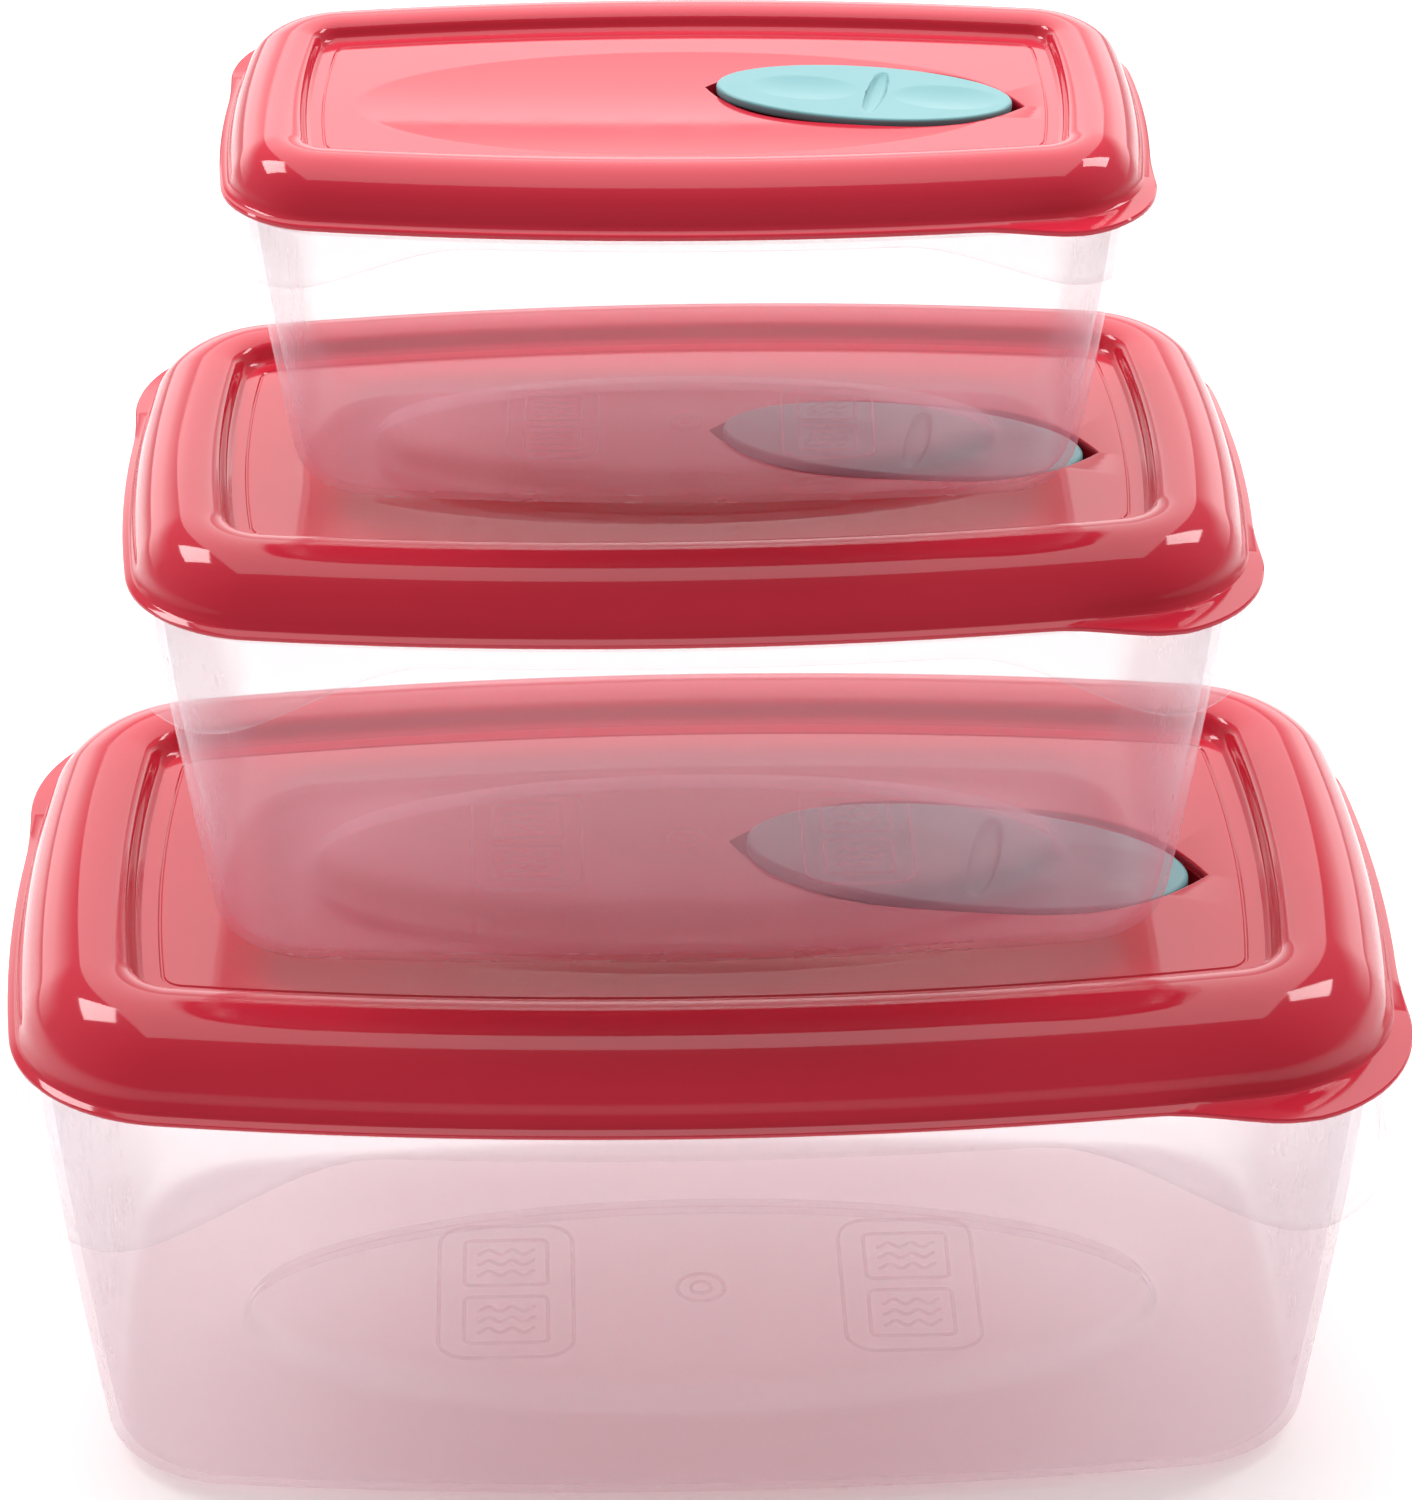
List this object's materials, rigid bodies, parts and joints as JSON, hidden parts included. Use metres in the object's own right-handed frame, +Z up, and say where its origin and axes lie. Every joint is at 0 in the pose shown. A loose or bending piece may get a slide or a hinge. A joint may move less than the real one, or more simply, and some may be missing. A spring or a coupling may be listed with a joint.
{
  "type": "food container set",
  "caption": "Graduated stack of rectangular lidded food containers: tapered translucent tubs with a wavy skirt, snap lids with a rounded bead, and oval rocking steam vents.",
  "frame": {"origin": "on the standing surface, under the middle of the large tub", "axes": "+X along the containers' length, the vents' side; +Y to the back; +Z up"},
  "size_m": [0.2336, 0.138, 0.2365],
  "materials": {
    "clear_plastic": "translucent polypropylene, polished outside, slightly hazy",
    "red_plastic": "glossy bead, satin recessed panel",
    "turquoise_plastic": "satin"
  },
  "bodies": {
    "large_tub": {"large_tub": "clear_plastic"},
    "large_lid": {"large_lid": "red_plastic"},
    "large_vent": {"large_vent": "turquoise_plastic"},
    "medium_tub": {"medium_tub": "clear_plastic"},
    "medium_lid": {"medium_lid": "red_plastic"},
    "medium_vent": {"medium_vent": "turquoise_plastic"},
    "small_tub": {"small_tub": "clear_plastic"},
    "small_lid": {"small_lid": "red_plastic"},
    "small_vent": {"small_vent": "turquoise_plastic"}
  },
  "joints": [
    {"name": "large_lid_lift", "type": "slide", "parent": "large_tub", "child": "large_lid", "axis": [0, 0, 1], "range_m": [0, 0.06]},
    {"name": "medium_tub_lift", "type": "slide", "parent": "large_lid", "child": "medium_tub", "axis": [0, 0, 1], "range_m": [0, 0.06]},
    {"name": "medium_lid_lift", "type": "slide", "parent": "medium_tub", "child": "medium_lid", "axis": [0, 0, 1], "range_m": [0, 0.06]},
    {"name": "small_tub_lift", "type": "slide", "parent": "medium_lid", "child": "small_tub", "axis": [0, 0, 1], "range_m": [0, 0.06]},
    {"name": "small_lid_lift", "type": "slide", "parent": "small_tub", "child": "small_lid", "axis": [0, 0, 1], "range_m": [0, 0.06]},
    {"name": "large_vent_rock", "type": "hinge", "parent": "large_lid", "child": "large_vent", "pos_m": [0.04826, -0.00025, 0.09025], "axis": [0.1874, 0.9823, 0], "range_deg": [-1, 1.5]},
    {"name": "medium_vent_rock", "type": "hinge", "parent": "medium_lid", "child": "medium_vent", "pos_m": [0.03551, 0, 0.17022], "axis": [0.1822, 0.9833, 0], "range_deg": [-1, 1.5]},
    {"name": "small_vent_rock", "type": "hinge", "parent": "small_lid", "child": "small_vent", "pos_m": [0.02796, -0.00084, 0.23245], "axis": [0.2096, 0.9778, 0], "range_deg": [0, 5]}
  ]
}
